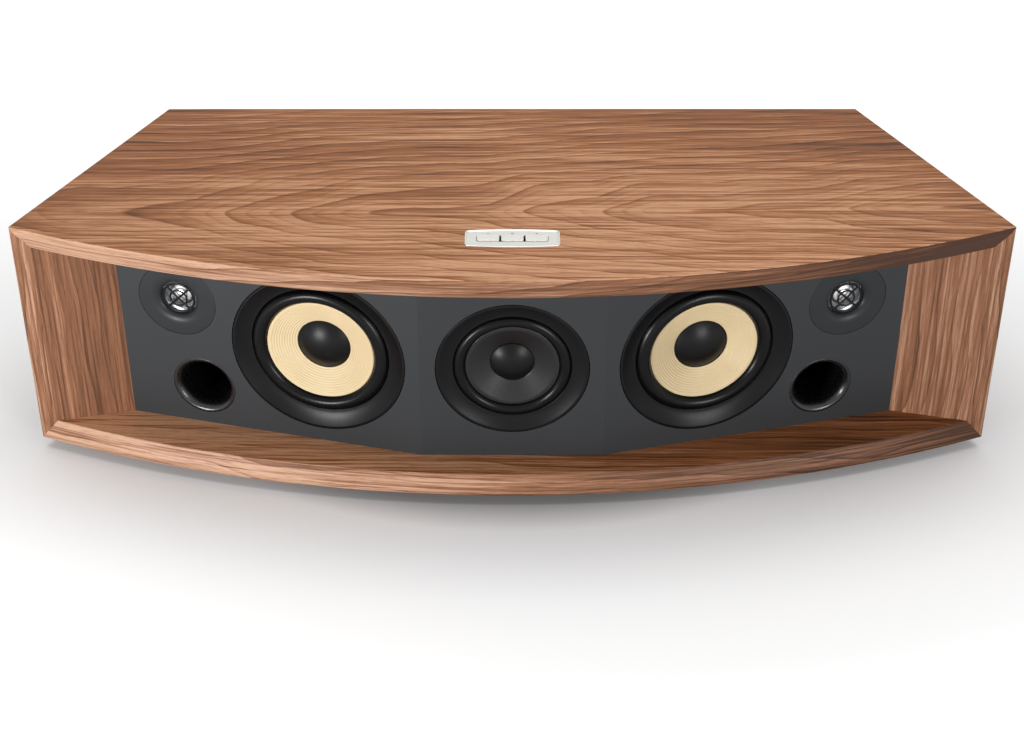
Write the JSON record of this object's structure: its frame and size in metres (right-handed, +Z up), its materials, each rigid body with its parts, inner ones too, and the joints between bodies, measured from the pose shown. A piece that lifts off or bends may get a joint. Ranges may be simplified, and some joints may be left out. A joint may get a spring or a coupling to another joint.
{
  "type": "wireless stereo speaker",
  "caption": "Bowed walnut-veneered one-box stereo speaker with a faceted charcoal baffle, flanking woofers, a centre driver, side tweeters, reflex ports and top buttons.",
  "frame": {"origin": "on the surface it stands on, under the middle of the bounding box", "axes": "+Z up, +X to the right seen from the front, the front faces -Y"},
  "size_m": [0.79, 0.2759, 0.2171],
  "materials": {
    "top_veneer": "satin",
    "bottom_veneer": "satin",
    "side_veneer": "satin",
    "cheek_veneer": "satin",
    "rear_board": "matte",
    "baffle_paint": "satin",
    "chamber_board": "matte",
    "foot_rubber": "matte",
    "bezel_metal": "satin",
    "key_plastic": "satin",
    "circuit_board": "satin",
    "connector_plastic": "matte",
    "socket_plastic": "satin",
    "socket_metal": "satin",
    "heat_sink_metal": "satin",
    "radio_shield": "satin",
    "trim_plastic": "satin",
    "basket_paint": "satin",
    "magnet_ferrite": "matte",
    "motor_steel": "satin",
    "spider_cloth": "matte",
    "surround_rubber": "gloss",
    "woofer_cone": "matte",
    "mid_cone": "satin",
    "dust_cap": "satin",
    "coil_winding": "satin",
    "tweeter_face": "satin",
    "tweeter_guard": "satin",
    "tweeter_dome": "satin",
    "tweeter_motor": "satin",
    "port_plastic": "gloss"
  },
  "bodies": {
    "cabinet": {"top_panel": "top_veneer", "bottom_panel": "bottom_veneer", "left_side_panel": "side_veneer", "right_side_panel": "side_veneer", "rear_panel": "rear_board", "left_cheek": "cheek_veneer", "right_cheek": "cheek_veneer", "front_baffle": "baffle_paint", "chamber_walls": "chamber_board", "rubber_feet": "foot_rubber", "control_bezel": "bezel_metal", "control_board": "circuit_board", "connector_panel": "connector_plastic", "mains_inlet": "socket_plastic", "network_socket": "socket_metal", "audio_sockets": "socket_plastic", "main_board": "circuit_board", "power_supply_board": "circuit_board", "heat_sink": "heat_sink_metal", "wireless_module": "radio_shield", "left_woofer_trim": "trim_plastic", "left_woofer_basket": "basket_paint", "left_woofer_magnet": "magnet_ferrite", "left_woofer_motor": "motor_steel", "left_woofer_spider": "spider_cloth", "left_woofer_surround": "surround_rubber", "right_woofer_trim": "trim_plastic", "right_woofer_basket": "basket_paint", "right_woofer_magnet": "magnet_ferrite", "right_woofer_motor": "motor_steel", "right_woofer_spider": "spider_cloth", "right_woofer_surround": "surround_rubber", "midrange_trim": "trim_plastic", "midrange_basket": "basket_paint", "midrange_magnet": "magnet_ferrite", "midrange_motor": "motor_steel", "midrange_spider": "spider_cloth", "midrange_surround": "surround_rubber", "left_tweeter_faceplate": "tweeter_face", "left_tweeter_guard": "tweeter_guard", "left_tweeter_dome": "tweeter_dome", "left_tweeter_motor": "tweeter_motor", "left_port": "port_plastic", "right_tweeter_faceplate": "tweeter_face", "right_tweeter_guard": "tweeter_guard", "right_tweeter_dome": "tweeter_dome", "right_tweeter_motor": "tweeter_motor", "right_port": "port_plastic"},
    "left_woofer_cone_assembly": {"left_woofer_cone": "woofer_cone", "left_woofer_dust_cap": "dust_cap", "left_woofer_voice_coil": "coil_winding"},
    "right_woofer_cone_assembly": {"right_woofer_cone": "woofer_cone", "right_woofer_dust_cap": "dust_cap", "right_woofer_voice_coil": "coil_winding"},
    "midrange_cone_assembly": {"midrange_cone": "mid_cone", "midrange_dust_cap": "dust_cap", "midrange_voice_coil": "coil_winding"},
    "left_button": {"left_button": "key_plastic"},
    "middle_button": {"middle_button": "key_plastic"},
    "right_button": {"right_button": "key_plastic"}
  },
  "joints": [
    {"name": "left_woofer_stroke", "type": "slide", "parent": "cabinet", "child": "left_woofer_cone_assembly", "axis": [-0.2453, -0.9694, 0], "range_m": [-0.004, 0.004], "stiffness_N_per_m": 1200, "deforming": ["left_woofer_surround", "left_woofer_spider"]},
    {"name": "right_woofer_stroke", "type": "slide", "parent": "cabinet", "child": "right_woofer_cone_assembly", "axis": [0.2453, -0.9694, 0], "range_m": [-0.004, 0.004], "stiffness_N_per_m": 1200, "deforming": ["right_woofer_surround", "right_woofer_spider"]},
    {"name": "midrange_stroke", "type": "slide", "parent": "cabinet", "child": "midrange_cone_assembly", "axis": [0, -1, 0], "range_m": [-0.002, 0.002], "stiffness_N_per_m": 1500, "deforming": ["midrange_surround", "midrange_spider"]},
    {"name": "left_button_press", "type": "slide", "parent": "cabinet", "child": "left_button", "axis": [0, 0, -1], "range_m": [0, 0.0008], "stiffness_N_per_m": 400, "springref_m": -0.0006},
    {"name": "middle_button_press", "type": "slide", "parent": "cabinet", "child": "middle_button", "axis": [0, 0, -1], "range_m": [0, 0.0008], "stiffness_N_per_m": 400, "springref_m": -0.0006},
    {"name": "right_button_press", "type": "slide", "parent": "cabinet", "child": "right_button", "axis": [0, 0, -1], "range_m": [0, 0.0008], "stiffness_N_per_m": 400, "springref_m": -0.0006}
  ]
}
